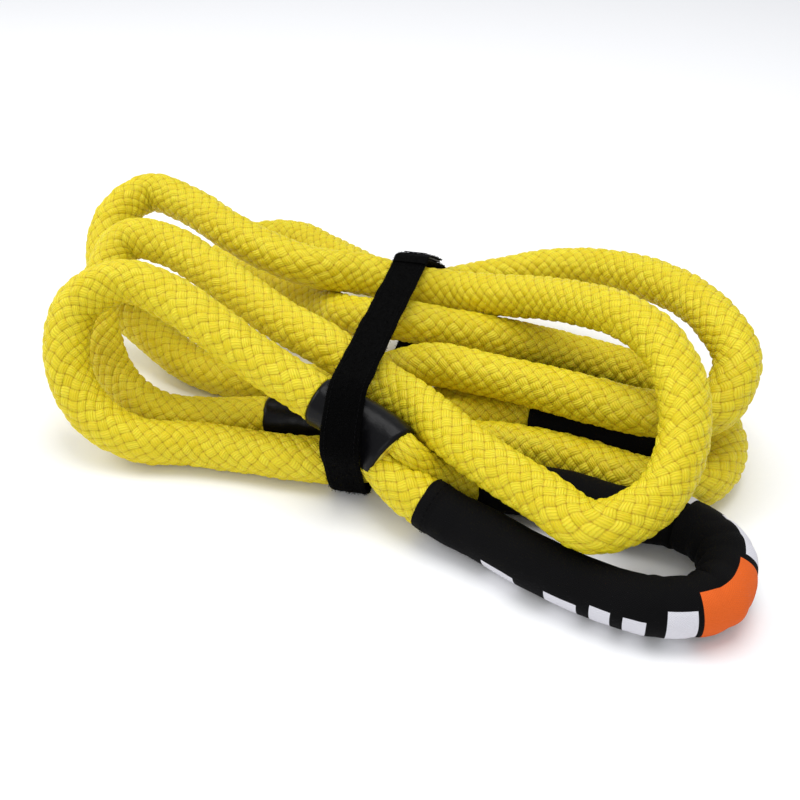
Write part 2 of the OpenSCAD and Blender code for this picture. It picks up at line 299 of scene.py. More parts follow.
# Solution-dyed nylon, double-braided: plump glossy strands of a lemon yellow. Painted shade turns
# it golden in the valleys between the floats and at the corners where four meet. Each strand is
# made of yarns about 1.3 mm apart, which show as fine lines, painted paler as glints; the strands
# that run one way are painted a little lighter as a highlight.
def braided_nylon(name, bright, pale_and_glint, valley_shade):
    material, tree, shader = surface(
        name, bright, 0.42, Specular_IOR_Level=0.28, IOR=1.53, Subsurface_Weight=0.22,
        Subsurface_Radius=(1.0, 0.5, 0.05), Subsurface_Scale=4 * MM)
    place = add(tree, "ShaderNodeUVMap", uv_map="braid").outputs[0]
    uv = add(tree, "ShaderNodeSeparateXYZ", {0: place})
    across, number, height, corner, way = braid(tree, uv.outputs[0], uv.outputs[1])
    own = add(tree, "ShaderNodeTexWhiteNoise", {"W": number},
              noise_dimensions="1D").outputs["Value"]
    position = add(tree, "ShaderNodeTexCoord").outputs["Object"]
    patches = add(tree, "ShaderNodeTexNoise", {"Vector": position, "Scale": 55.0, "Detail": 3.0})
    fibres = add(tree, "ShaderNodeTexNoise", {"Vector": position, "Scale": 900.0, "Detail": 2.0})
    # The tone differs at random from float to float and in patches; the 0.15 added to the strands
    # that run one way is a painted highlight.
    tone_and_sheen = add(tree, MATH, [
        add(tree, MATH, [own, 0.55, add(tree, MATH, [way, 0.15], operation="MULTIPLY")],
            operation="MULTIPLY_ADD"),
        add(tree, MATH, [patches.outputs["Fac"], 0.7], operation="MULTIPLY")], operation="ADD")
    yarns = add(tree, MATH, [
        add(tree, MATH, [add(tree, MATH, [across, 4 * math.pi], operation="MULTIPLY")],
            operation="SINE")], operation="ABSOLUTE")
    # Painted glints: pale streaks along the yarn lines of each float, standing in for the
    # highlights on the fibres.
    painted_glint = add(tree, MATH, [add(tree, MATH, [yarns, 3], operation="POWER"),
        add(tree, MATH, [tone_and_sheen, 0.25], operation="SUBTRACT")], operation="MULTIPLY")
    body = add(tree, MIX, {
        0: add(tree, MATH, [add(tree, MATH, [tone_and_sheen, 0.35], operation="MULTIPLY"),
            add(tree, MATH, [painted_glint, 0.7], operation="MULTIPLY")], operation="ADD"), 6: bright,
        7: pale_and_glint}, data_type="RGBA").outputs[2]
    # Painted shade: the colour goes towards the deep golden one in the valleys between floats and
    # at the corners where four floats meet, where shade falls.
    low = add(tree, MATH, [add(tree, MATH, [1, height], operation="SUBTRACT"), 2],
        operation="POWER")
    dark = add(tree, MATH, [add(tree, MATH, [low, 0.3, corner], operation="MULTIPLY_ADD"), 1],
        operation="MINIMUM")
    colour = add(tree, MIX,
        {0: add(tree, MATH, [dark, 0.62], operation="MULTIPLY"), 6: body, 7: valley_shade},
        data_type="RGBA").outputs[2]
    shine = add(tree, MATH, [fibres.outputs["Fac"], 0.35, 0.3], operation="MULTIPLY_ADD")
    relief = add(tree, MATH, [
        add(tree, MATH, [add(tree, MATH, [yarns, 0.6], operation="POWER"), 0.55],
            operation="MULTIPLY"),
        add(tree, MATH, [fibres.outputs["Fac"], 0.45], operation="MULTIPLY")], operation="ADD")
    bump = add(tree, "ShaderNodeBump", {"Height": relief, "Distance": 0.55 * MM, "Strength": 0.9})
    wire(tree, shader, {"Base Color": colour, "Roughness": shine, "Normal": bump})
    return material


# The lemon yellow; a paler yellow for the random tone, the painted glints and the painted
# highlight; and the golden painted shade of the valleys and corners.
COVER = braided_nylon("yellow_braided_nylon", "#D8C100", "#E8DA30", "#9A5E00")


# The core braid and the buried tails: the same nylon, softer and less tightly laid, so it is
# duller; its strands are drawn as slanting waves about 9 mm apart.
def core_nylon():
    material, tree, shader = surface("core_braid_nylon", "#D8CB3A", 0.6, IOR=1.53)
    position = add(tree, "ShaderNodeTexCoord").outputs["Object"]
    waves = add(tree, "ShaderNodeTexWave", {
        "Vector": position, "Scale": 40.0, "Distortion": 3.0, "Detail": 2.0, "Detail Scale": 4.0},
        bands_direction="DIAGONAL")
    grain = add(tree, "ShaderNodeTexNoise", {"Vector": position, "Scale": 600.0})
    wire(tree, shader, {
        "Base Color": add(tree, MIX, {0: waves.outputs["Fac"], 6: "#C2A91E", 7: "#E0D44C"},
            data_type="RGBA").outputs[2]})
    height = add(tree, MATH, [grain.outputs["Fac"], 0.3, waves.outputs["Fac"]],
        operation="MULTIPLY_ADD")
    bump = add(tree, "ShaderNodeBump", {"Height": height, "Distance": 0.6 * MM, "Strength": 0.8})
    wire(tree, shader, {"Normal": bump})
    return material


CORE = core_nylon()


# Dipped urethane coating on the splice: deep black and wet-looking, with a slow orange peel of
# about 8 mm and a fine grain in its surface and gloss.
def coating():
    material, tree, shader = surface(
        "dipped_urethane_coating", "#050507", 0.3, IOR=1.45, Specular_IOR_Level=0.19)
    position = add(tree, "ShaderNodeTexCoord").outputs["Object"]
    peel = add(tree, "ShaderNodeTexNoise", {"Vector": position, "Scale": 120.0, "Detail": 3.0})
    dust = add(tree, "ShaderNodeTexNoise", {"Vector": position, "Scale": 1500.0, "Detail": 2.0})
    wire(tree, shader, {
        "Base Color": add(tree, MIX, {0: peel.outputs["Fac"], 6: "#030304", 7: "#08080B"},
            data_type="RGBA").outputs[2]})
    wire(tree, shader, {
        "Roughness": add(tree, MATH, [dust.outputs["Fac"], 0.2, 0.22], operation="MULTIPLY_ADD")})
    height = add(tree, MATH, [dust.outputs["Fac"], 0.12, peel.outputs["Fac"]],
        operation="MULTIPLY_ADD")
    bump = add(tree, "ShaderNodeBump", {"Height": height, "Distance": 0.8 * MM, "Strength": 0.5})
    wire(tree, shader, {"Normal": bump})
    return material


COATING = coating()

# Prints on the big sleeve: places along it and round it, in metres, as (from, to, from, to).
# Plain bars and one plain patch.
WHITE_BARS = [
    (0.042, 0.060, 0.0235, 0.042), (0.076, 0.091, 0.0215, 0.042), (0.097, 0.106, 0.0185, 0.042),
    (0.111, 0.119, 0.0185, 0.042), (0.126, 0.137, 0.0125, 0.042), (0.171, 0.195, 0.0070, 0.034),
    (0.208, 0.225, 0.0000, 0.0110)]
ORANGE_PATCH = (0.139, 0.168, 0.0045, 0.034)


# Ballistic nylon cloth: a black basket weave that repeats every 1.1 mm, matt, with slightly worn
# patches of about 22 mm. The print is a thin satin ink on top of it.
def sleeve_cloth(name, printed):
    material, tree, shader = surface(
        name, "#08070A", 0.82, Specular_IOR_Level=0.1, IOR=1.5)
    uv = add(tree, "ShaderNodeUVMap", uv_map="cloth").outputs[0]
    parts = add(tree, "ShaderNodeSeparateXYZ", {0: uv})
    over, under = (
        add(tree, MATH, [add(tree, MATH, [p, 2 * math.pi / (1.1 * MM)], operation="MULTIPLY")],
            operation="SINE") for p in parts.outputs[:2])
    weave = add(tree, MATH, [over, under], operation="MULTIPLY")
    position = add(tree, "ShaderNodeTexCoord").outputs["Object"]
    wear = add(tree, "ShaderNodeTexNoise", {"Vector": position, "Scale": 45.0, "Detail": 5.0})
    thread = add(tree, MATH, [weave, 0.5, 0.5], operation="MULTIPLY_ADD")
    colour = add(tree, MIX, {
        0: add(tree, MATH, [thread, wear.outputs["Fac"]], operation="MULTIPLY"), 6: "#020202",
        7: "#0D0C0F"}, data_type="RGBA").outputs[2]
    if printed:
        for boxes, ink in ((WHITE_BARS, "#D9D8DE"), ([ORANGE_PATCH], "#E2621B")):
            inside = None
            for lo, hi, near, far in boxes:
                along = add(tree, MATH, [parts.outputs[1], (lo + hi) / 2, (hi - lo) / 2],
                    operation="COMPARE")
                around = add(tree, MATH, [parts.outputs[0], (near + far) / 2, (far - near) / 2],
                    operation="COMPARE")
                box = add(tree, MATH, [along, around], operation="MULTIPLY")
                inside = box if inside is None else add(tree, MATH, [inside, box],
                    operation="MAXIMUM")
            ink_colour = add(tree, MIX,
                {0: add(tree, MATH, [thread, 0.12], operation="MULTIPLY"), 6: ink, 7: "#6A666C"},
                data_type="RGBA").outputs[2]
            colour = add(tree, MIX, {0: inside, 6: colour, 7: ink_colour},
                data_type="RGBA").outputs[2]
    wire(tree, shader, {"Base Color": colour})
    height = add(tree, MATH, [wear.outputs["Fac"], 0.8, thread], operation="MULTIPLY_ADD")
    bump = add(tree, "ShaderNodeBump", {"Height": height, "Distance": 0.25 * MM, "Strength": 0.7})
    wire(tree, shader, {"Normal": bump})
    return material


PRINTED_SLEEVE = sleeve_cloth("printed_ballistic_nylon", True)
PLAIN_SLEEVE = sleeve_cloth("ballistic_nylon", False)


# Brushed nylon loop pile: very dark and matt, with hardly any sheen and a mottle of about 2 mm
# where the loops lie different ways.
def pile_cloth(name, dark, light, sheen):
    material, tree, shader = surface(
        name, dark, 0.95, Sheen_Weight=sheen, Sheen_Roughness=0.4, Specular_IOR_Level=0.04)
    position = add(tree, "ShaderNodeTexCoord").outputs["Object"]
    mottle = add(tree, "ShaderNodeTexNoise", {"Vector": position, "Scale": 420.0, "Detail": 4.0})
    loops = add(tree, "ShaderNodeTexVoronoi", {"Vector": position, "Scale": 1400.0})
    wire(tree, shader, {
        "Base Color": add(tree, MIX, {0: mottle.outputs["Fac"], 6: dark, 7: light},
            data_type="RGBA").outputs[2]})
    height = add(tree, MATH, [mottle.outputs["Fac"], loops.outputs["Distance"]],
        operation="SUBTRACT")
    bump = add(tree, "ShaderNodeBump", {"Height": height, "Distance": 0.6 * MM, "Strength": 1.0})
    wire(tree, shader, {"Normal": bump})
    return material


PILE = pile_cloth("brushed_loop_pile", "#010101", "#050505", 0.004)
FUZZ = pile_cloth("loose_pile_fibre", "#020202", "#080808", 0.01)


# Moulded nylon hooks on a woven tape, and bonded polyester thread: both black, a little shinier
# than the cloth, with ribs 1.2 mm apart on the tape and a twist of 0.6 mm on the thread.
def small_black(name, colour, light, roughness, scale, gloss):
    material, tree, shader = surface(name, colour, roughness, Specular_IOR_Level=gloss)
    position = add(tree, "ShaderNodeTexCoord").outputs["Object"]
    ribs = add(tree, "ShaderNodeTexWave", {"Vector": position, "Scale": scale, "Distortion": 1.0},
               bands_direction="DIAGONAL")
    wire(tree, shader, {
        "Base Color": add(tree, MIX, {0: ribs.outputs["Fac"], 6: colour, 7: light},
            data_type="RGBA").outputs[2]})
    bump = add(tree, "ShaderNodeBump", {
        "Height": ribs.outputs["Fac"], "Distance": 0.15 * MM, "Strength": 0.6})
    wire(tree, shader, {"Normal": bump})
    return material


HOOK = small_black("moulded_nylon_hook_tape", "#050506", "#0D0D0F", 0.55, 300.0, 0.15)
THREAD = small_black("bonded_polyester_thread", "#030303", "#08080A", 0.8, 600.0, 0.08)


# ---------------------------------------------------------------- geometry trees
def tree_with(name, sizes):
    """An empty geometry tree with a named input for each size."""
    tree = bpy.data.node_groups.new(name, "GeometryNodeTree")
    tree.interface.new_socket("Geometry", in_out="INPUT", socket_type="NodeSocketGeometry")
    for label in sizes:
        tree.interface.new_socket(label, in_out="INPUT", socket_type="NodeSocketFloat")
    tree.interface.new_socket("Geometry", in_out="OUTPUT", socket_type="NodeSocketGeometry")
    return tree, add(tree, "NodeGroupInput"), add(tree, "NodeGroupOutput")


def finish_tree(tree, out, geometry, material):
    solid = add(tree, "GeometryNodeRealizeInstances", {0: geometry}).outputs[0]
    done = add(tree, "GeometryNodeSetMaterial", {"Geometry": solid, "Material": material})
    wire(tree, out, {0: done.outputs[0]})


def grown(name, base, tree, sizes):
    """The plain mesh that a geometry tree makes on a base object, which is then removed."""
    modifier = base.modifiers.new("tree", "NODES")
    modifier.node_group = tree
    for item in tree.interface.items_tree:
        if item.in_out == "INPUT" and item.name in sizes:
            modifier[item.identifier] = float(sizes[item.name])
    evaluated = base.evaluated_get(bpy.context.evaluated_depsgraph_get())
    mesh = bpy.data.meshes.new_from_object(evaluated)
    mesh.name = name
    bpy.data.objects.remove(base)
    return mesh


def line_object(line, radii=None):
    """A curve object along a line, for a tree to work on."""
    curve = bpy.data.curves.new("line", "CURVE")
    curve.dimensions = "3D"
    spline = curve.splines.new("POLY")
    spline.points.add(len(line) - 1)
    for i, p in enumerate(line):
        spline.points[i].co = (*p, 1)
        spline.points[i].radius = radii[i] if radii else 1.0
    obj = bpy.data.objects.new("line", curve)
    bpy.context.scene.collection.objects.link(obj)
    return obj


def braided_tube_tree():
    """The braided cover as a tube round the stretch of a line between two lengths along it.
    The line's own radius is the rope's, and the strands are raised on it."""
    tree, given, out = tree_with("braided_tube", (
        "From", "To", "Relief", "Lay Length", "Columns", "Rows", "Lumps"))
    size = given.outputs
    grid = add(tree, "GeometryNodeMeshGrid", {
        "Size X": 1.0, "Size Y": 1.0, "Vertices X": size["Columns"], "Vertices Y": size["Rows"]})
    flat = add(tree, "ShaderNodeSeparateXYZ", {0: add(tree, "GeometryNodeInputPosition")})
    around = add(tree, MATH, [flat.outputs[0], 0.5], operation="ADD")
    share = add(tree, MATH, [flat.outputs[1], 0.5], operation="ADD")
    span = add(tree, MATH, [size["To"], size["From"]], operation="SUBTRACT")
    length = add(tree, MATH, [share, span, size["From"]], operation="MULTIPLY_ADD")
    turns = add(tree, MATH, [length, size["Lay Length"]], operation="DIVIDE")
    radius = add(tree, "GeometryNodeInputRadius").outputs[0]
    at = add(tree, "GeometryNodeSampleCurve", {
        "Curves": size["Geometry"], "Value": radius, "Length": length}, mode="LENGTH")
    third = add(tree, "ShaderNodeVectorMath", {0: at.outputs["Tangent"], 1: at.outputs["Normal"]},
                operation="CROSS_PRODUCT").outputs[0]
    angle = add(tree, MATH, [around, 2 * math.pi], operation="MULTIPLY")
    one = add(tree, "ShaderNodeVectorMath",
        {0: at.outputs["Normal"], "Scale": add(tree, MATH, [angle], operation="COSINE")},
        operation="SCALE").outputs[0]
    two = add(tree, "ShaderNodeVectorMath",
        {0: third, "Scale": add(tree, MATH, [angle], operation="SINE")},
        operation="SCALE").outputs[0]
    outward = add(tree, "ShaderNodeVectorMath", {0: one, 1: two}, operation="ADD").outputs[0]
    _, number, height, _, _ = braid(tree, around, turns)
    own = add(tree, "FunctionNodeRandomValue", {"Min": 0.72, "Max": 1.12, "ID": number, "Seed": 3})
    height = add(tree, MATH, [height, own.outputs[1]], operation="MULTIPLY")
    low = add(tree, MATH, [add(tree, MATH, [1, height], operation="SUBTRACT"), size["Relief"]],
        operation="MULTIPLY")
    clouds = add(tree, "ShaderNodeTexNoise", {"Vector": at.outputs["Position"], "Scale": 22.0})
    uneven = add(tree, MATH,
        [add(tree, MATH, [clouds.outputs["Fac"], 0.5], operation="SUBTRACT"), size["Lumps"]],
        operation="MULTIPLY")
    reach = add(tree, MATH,
        [add(tree, MATH, [at.outputs["Value"], low], operation="SUBTRACT"), uneven],
        operation="ADD")
    offset = add(tree, "ShaderNodeVectorMath", {0: outward, "Scale": reach}, operation="SCALE")
    place = add(tree, "ShaderNodeVectorMath", {0: at.outputs["Position"], 1: offset.outputs[0]},
                operation="ADD").outputs[0]
    mark = add(tree, "ShaderNodeCombineXYZ", {0: around, 1: turns}).outputs[0]
    marked = add(tree, "GeometryNodeStoreNamedAttribute", {
        "Geometry": grid.outputs["Mesh"], "Name": "braid", "Value": mark},
        data_type="FLOAT2", domain="CORNER").outputs[0]
    # The lengths are worked out on the flat grid, so all that needs it is kept before it moves
    kept = add(tree, "GeometryNodeCaptureAttribute", {"Geometry": marked})
    kept.capture_items.new("VECTOR", "place")
    wire(tree, kept, {1: place})
    moved = add(tree, "GeometryNodeSetPosition", {
        "Geometry": kept.outputs[0], "Position": kept.outputs[1]}).outputs[0]
    welded = add(tree, "GeometryNodeMergeByDistance", {"Geometry": moved, "Distance": 0.00002})
    soft = add(tree, "GeometryNodeSetShadeSmooth", {"Geometry": welded.outputs[0]}).outputs[0]
    finish_tree(tree, out, soft, COVER)
    return tree


BRAIDED_TUBE = braided_tube_tree()


def close_ends(mesh):
    bm = bmesh.new()
    bm.from_mesh(mesh)
    bmesh.ops.holes_fill(bm, edges=[e for e in bm.edges if e.is_boundary], sides=0)
    bm.to_mesh(mesh)
    bm.free()


def braided(name, line, radii, start, end, relief=1.35 * MM):
    mesh = grown(name, line_object(line, radii), BRAIDED_TUBE, {
        "From": start, "To": end, "Relief": relief, "Lay Length": PITCH, "Columns": 97,
        "Rows": round((end - start) / (0.9 * MM)), "Lumps": 1.6 * MM})
    close_ends(mesh)
    return put(name, mesh)


# ---------------------------------------------------------------- the rope, first of the pieces
STEPS = 12
rope_line = smooth(ROPE, STEPS)
first = len(THROAT_A) - 1
# Each bight with its own length of rope, in metres
for name, part in BIGHTS:
    last = first + len(part)
    start = length_of(rope_line[:first * STEPS + 1])
    piece_line = rope_line[first * STEPS:last * STEPS + 1]
    length = length_of(piece_line)
    rope = braided(name, rope_line, [ROPE_R + SWELL] * len(rope_line), start, start + length)
    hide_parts(name + "_cover")
    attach(rope, "hank")
    first = last


def eye_line(route, mouth, along, legs):
    """An eye's centre line, one leg, the bow and the other leg; both legs start in the throat."""
    ends = [[mouth + (LEG_GAP * k) * along + LEG_OFFSET * side * legs for k in (-1.0, 1.0)]
            for side in (1, -1)]
    return ends[0] + metres(route) + ends[1][::-1]


def across_to(v, t):
    return (v - v.dot(t) * t).normalized()


out_a = (ROPE[0] - ROPE[1]).normalized()
out_b = (ROPE[-1] - ROPE[-2]).normalized()
LEGS_A = across_to(Vector((-0.38, -0.5, -0.78)), out_a)
LEGS_B = across_to(Vector((0.6, -0.8, 0)), out_b)
# The near leg takes most of the band's mouth, the far one is squeezed behind it
NEAR_LEG = [9.2 * MM, 10.8 * MM, 12.4 * MM, 12.6 * MM]
FAR_LEG = [7.4 * MM, 7.6 * MM, 8.5 * MM, 10.5 * MM]

eyes = {}
for key, route, mouth, out_way, legs in (
        ("a", EYE_A, ROPE[0], out_a, LEGS_A), ("b", EYE_B, ROPE[-1], out_b, LEGS_B)):
    points = eye_line(route, mouth, out_way, legs)
    line = smooth(points, STEPS)
    swell = NEAR_LEG + [11.7 * MM] * (len(points) - 8) + FAR_LEG[::-1]
    radii = []
    for i in range(len(line)):
        k, t = divmod(i, STEPS)
        far = swell[min(k + 1, len(points) - 1)]
        radii.append(swell[k] + (far - swell[k]) * t / STEPS)
    total = length_of(line)
    rope = braided(f"eye_{key}_rope", line, radii, 0.0, total)
    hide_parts(f"eye_{key}_cover")
    if key == "a":
        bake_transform(rope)
    else:
        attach(rope, "hank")
    eyes[key] = line


# ---------------------------------------------------------------- splice bands
def band(key, points, legs, half_widths):
    """A dipped band over a throat: round where the rope enters, oval where the two legs leave,
    with rolled lips and faint lumps in its surface."""
    line = resampled(smooth(points, 10), 0.9 * MM)
    total = len(line) - 1
    rings = []
    for i, (p, (_, side, third)) in enumerate(zip(line, frames(line, legs))):
        k = i / total
        j = min(int(k * (len(half_widths) - 1)), len(half_widths) - 2)
        f = k * (len(half_widths) - 1) - j
        wide = half_widths[j] + (half_widths[j + 1] - half_widths[j]) * f
        edge = min(i, total - i) * 0.9 * MM
        lip = -1.6 * MM * max(0, 1 - edge / (2.2 * MM)) ** 2
        ring = []
        for n in range(72):
            a = 2 * math.pi * n / 72
            point = (wide + lip) * math.cos(a) * side + (13.5 * MM + lip) * math.sin(a) * third
            lump = (0.55 * MM * noise.noise((p + point) * 55)
                    + 0.22 * MM * noise.noise((p + point) * 190))
            ring.append(p + point * (1 + (lump - 0.25 * MM) / point.length))
        rings.append(ring)
    # The lips turn in over the throat
    for end, ring_in in ((0, rings[0]), (-1, rings[-1])):
        centre = line[end]
        turned = [centre + (q - centre) * 0.86 for q in ring_in]
        rings.insert(0, turned) if end == 0 else rings.append(turned)
    obj = put(f"splice_{key}_coating", tube_mesh(f"splice_{key}_coating", rings), COATING)
    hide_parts(f"splice_{key}_band")
    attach(obj, "hank")
    return obj


WIDTHS = [17.9 * MM, 15.3 * MM, 13.5 * MM, 13.5 * MM]
band("a", ROPE[:len(THROAT_A)], LEGS_A, WIDTHS)
band("b", ROPE[-len(THROAT_B) - 1:], LEGS_B, WIDTHS[::-1])


# ---------------------------------------------------------------- sleeves
SLEEVE_R = 13.1 * MM  # where the cloth lies flat on the rope
SLEEVE_LEAST, SLEEVE_MOST = 13.0 * MM, 17.0 * MM
GATHER_APART = 11.5 * MM


def sleeve(key, material, skip_start, skip_end, gather):
    """A woven sleeve drawn over the eye's rope: smooth on the long leg, bunched into folds on the
    inside of the bow, with a turned hem at each end."""
    line = eyes[key]
    whole = line[(skip_start + 1) * STEPS:len(line) - (skip_end + 1) * STEPS]
    line = resampled(whole, 0.9 * MM)
    count = len(line)
    along = [0.0]
    for a, b in zip(line, line[1:]):
        along.append(along[-1] + (b - a).length)
    marks = frames(line, UP)
    around = 96
    centre = sum(line, Vector()) / count
    rings = []
    for i, (p, (_, side, third)) in enumerate(zip(line, marks)):
        # How tight the bend is here, and which way its inside lies
        a, b = line[max(0, i - 14)], line[min(count - 1, i + 14)]
        turn = (b - p).normalized() - (p - a).normalized()
        bend = min(1.0, turn.length / 0.55)
        inside = turn.normalized() if turn.length > 0.02 else (centre - p).normalized()
        end = min(along[i], along[-1] - along[i])
        ring = []
        for n in range(around):
            a = 2 * math.pi * n / around
            out_way = math.cos(a) * side + math.sin(a) * third
            inner = max(0.0, out_way.dot(inside))
            gathered = gather * max(0.0, bend - 0.2) / 0.8
            loose = 0.06 * MM + gathered * (1.0 + 1.5 * inner) * MM
            spot = (p + out_way * 0.014) * 60
            # Gathers are round lobes with narrow valleys between them
            warp = noise.noise(spot) * 1.9 + noise.noise(spot * 2.3) * 0.4
            fold = abs(math.sin(along[i] / GATHER_APART * math.pi + warp + 0.7 * math.sin(a)))
            fold *= 0.8 + 0.4 * noise.noise(spot * 0.7)
            crease = (noise.noise((p + out_way * 0.02) * 34) * 0.5
                      + noise.noise((p + out_way * 0.014) * 130) * 0.15) * MM
            hem = 0.35 * MM if 1.0 * MM < end < 8 * MM else 0.0
            r = SLEEVE_R + hem + crease + loose * fold
            ring.append(p + out_way * max(SLEEVE_LEAST, min(r, SLEEVE_MOST)))
        rings.append(ring)
    girth = 2 * math.pi * 13.2 * MM
    mesh = tube_mesh(f"sleeve_{key}_cloth", rings,
                     lambda r, c: (girth * c / around, along[r]), closed_ends=False)
    obj = put(f"sleeve_{key}_cloth", mesh, material)
    wall = obj.modifiers.new("wall", "SOLIDIFY")
    wall.thickness = 0.9 * MM
    wall.offset = -1
    wall.use_even_offset = False
    solid = bpy.data.meshes.new_from_object(
        obj.evaluated_get(bpy.context.evaluated_depsgraph_get()))
    obj.modifiers.clear()
    obj.data = solid
    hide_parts(f"eye_{key}_sleeve")
    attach(obj, "eye_a" if key == "a" else "hank")
    return line, marks


sleeve_a_line, sleeve_a_marks = sleeve("a", PRINTED_SLEEVE, 2, 3, 1.0)
sleeve_b_line, sleeve_b_marks = sleeve("b", PLAIN_SLEEVE, 3, 3, 0.6)


# ---------------------------------------------------------------- strap
STRAP_TURN = math.radians(25)
STRAP_AT = Vector((-11 * MM, 0, 0))
STRAP_U = Vector((-math.sin(STRAP_TURN), math.cos(STRAP_TURN), 0))
STRAP_N = Vector((math.cos(STRAP_TURN), math.sin(STRAP_TURN), 0))
STRAP_W, STRAP_T = 20 * MM, 2 * MM


def convex(points):
    points = sorted(set(points))
    halves = []
    for run in (points, points[::-1]):
        hull = []
        for p in run:
            while len(hull) > 1 and ((hull[-1][0] - hull[-2][0]) * (p[1] - hull[-2][1])
                                     - (hull[-1][1] - hull[-2][1]) * (p[0] - hull[-2][0])) <= 0:
                hull.pop()
            hull.append(p)
        halves += hull[:-1]
    return halves


strap_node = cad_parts["strap_loop"]
outline = convex([(round((v.co - STRAP_AT).dot(STRAP_U), 6), round(v.co.z, 6))
                  for v in strap_node.data.vertices])


def in_strap_plane(u, z, n=0.0):
    return STRAP_AT + u * STRAP_U + z * UP + n * STRAP_N


def ribbon(name, line, outs, width, thickness, material, closed, wobble, seed):
    """A strap with soft rounded edges along a line; outs are the ways its face looks."""
    section = []
    for k in range(24):
        a = 2 * math.pi * k / 24
        c, s = math.cos(a), math.sin(a)
        section.append((math.copysign(abs(c) ** 0.35, c) * width / 2,
                        math.copysign(abs(s) ** 0.8, s) * thickness / 2))
    rings = []
    for p, out_way in zip(line, outs):
        edge = [wobble * noise.noise(Vector((seed + side, 0, 0)) + p * 60) for side in (0, 7)]
        ring = []
        for w, h in section:
            n = w + (edge[0] if w > 0 else edge[1]) * abs(w) * 2 / width
            lift = 0.25 * wobble * noise.noise(p * 90 + Vector((w * 70, seed, 0)))
            ring.append(p + n * STRAP_N + (h + lift) * out_way)
        rings.append(ring)
    if closed:
        rings.append(rings[0])
    mesh = tube_mesh(name, rings, closed_ends=not closed)
    bm = bmesh.new()
    bm.from_mesh(mesh)
    bmesh.ops.remove_doubles(bm, verts=bm.verts, dist=1e-6)
    bmesh.ops.recalc_face_normals(bm, faces=bm.faces)
    bm.to_mesh(mesh)
    bm.free()
    return put(name, mesh, material)


loop_path = [in_strap_plane(u, z) for u, z in outline]
loop_path.append(loop_path[0])
loop_path = resampled(loop_path, 1.6 * MM)[:-1]
middle = sum(loop_path, Vector()) / len(loop_path)
loop_outs = []
for i, p in enumerate(loop_path):
    t = (loop_path[(i + 1) % len(loop_path)] - loop_path[i - 1]).normalized()
    out_way = t.cross(STRAP_N).normalized()
    loop_outs.append(out_way if out_way.dot(p - middle) > 0 else -out_way)
loop_path = [p - STRAP_T / 2 * o for p, o in zip(loop_path, loop_outs)]
strap = ribbon("strap_webbing", loop_path, loop_outs, STRAP_W, STRAP_T, PILE, True, 0.9 * MM, 3)
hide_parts("strap_loop")
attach(strap, "hank")


def fuzz_tree():
    """Short loose fibres standing on a surface, each a thin bent blade of a few faces."""
    tree, given, out = tree_with("pile_fibres", ("Density", "Fibre Length", "Fibre Width", "Seed"))
    size = given.outputs
    spots = add(tree, "GeometryNodeDistributePointsOnFaces", {
        "Mesh": size["Geometry"], "Density": size["Density"], "Seed": size["Seed"]})
    bow = add(tree, "GeometryNodeCurveQuadraticBezier", {
        "Resolution": 3, "Start": (0, 0, 0), "Middle": (0, 0, 0.7), "End": (0.8, 0, 0.75)})
    profile = add(tree, "GeometryNodeCurvePrimitiveCircle", {
        "Resolution": 3, "Radius": size["Fibre Width"]}, mode="RADIUS")
    fibre = add(tree, "GeometryNodeCurveToMesh", {
        "Curve": bow.outputs[0], "Profile Curve": profile.outputs[0], "Fill Caps": True})
    spin = add(tree, "FunctionNodeRandomValue", {
        "Min": (-0.5, -0.5, 0.0), "Max": (0.5, 0.5, 6.28), "Seed": size["Seed"]},
        data_type="FLOAT_VECTOR")
    turned = add(tree, "FunctionNodeRotateRotation", {
        "Rotation": spots.outputs["Rotation"],
        "Rotate By": add(tree, "FunctionNodeEulerToRotation", {0: spin.outputs[0]}).outputs[0]},
        rotation_space="LOCAL")
    grow = add(tree, "FunctionNodeRandomValue", {"Min": 0.5, "Max": 1.2, "Seed": 9})
    scale = add(tree, MATH, [grow.outputs[1], size["Fibre Length"]], operation="MULTIPLY")
    stood = add(tree, "GeometryNodeInstanceOnPoints", {
        "Points": spots.outputs[0], "Instance": fibre.outputs[0], "Rotation": turned.outputs[0],
        "Scale": scale})
    finish_tree(tree, out, stood.outputs[0], FUZZ)
    return tree


FIBRES = fuzz_tree()


def fuzz(name, on, density, length, seed):
    base = bpy.data.objects.new("base", on.data.copy())
    bpy.context.scene.collection.objects.link(base)
    mesh = grown(name, base, FIBRES, {
        "Density": density, "Fibre Length": length, "Fibre Width": 0.09, "Seed": seed})
    return put(name, mesh)


strap_fuzz = fuzz("strap_pile_fibres", strap, 420000, 1.1 * MM, 4)
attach(strap_fuzz, "hank")

# ---------------------------------------------------------------- the tab
TAB_ROOT = Vector((-42.599, 67.764, 63.920)) * MM
TAB_DIR = Vector((-0.3666, 0.7862, -0.4975))
TAB_OUT = Vector((-0.2103, 0.4509, 0.8675))
TAB_LEN, TAB_T, HOOK_T = 46 * MM, 1.5 * MM, 0.9 * MM
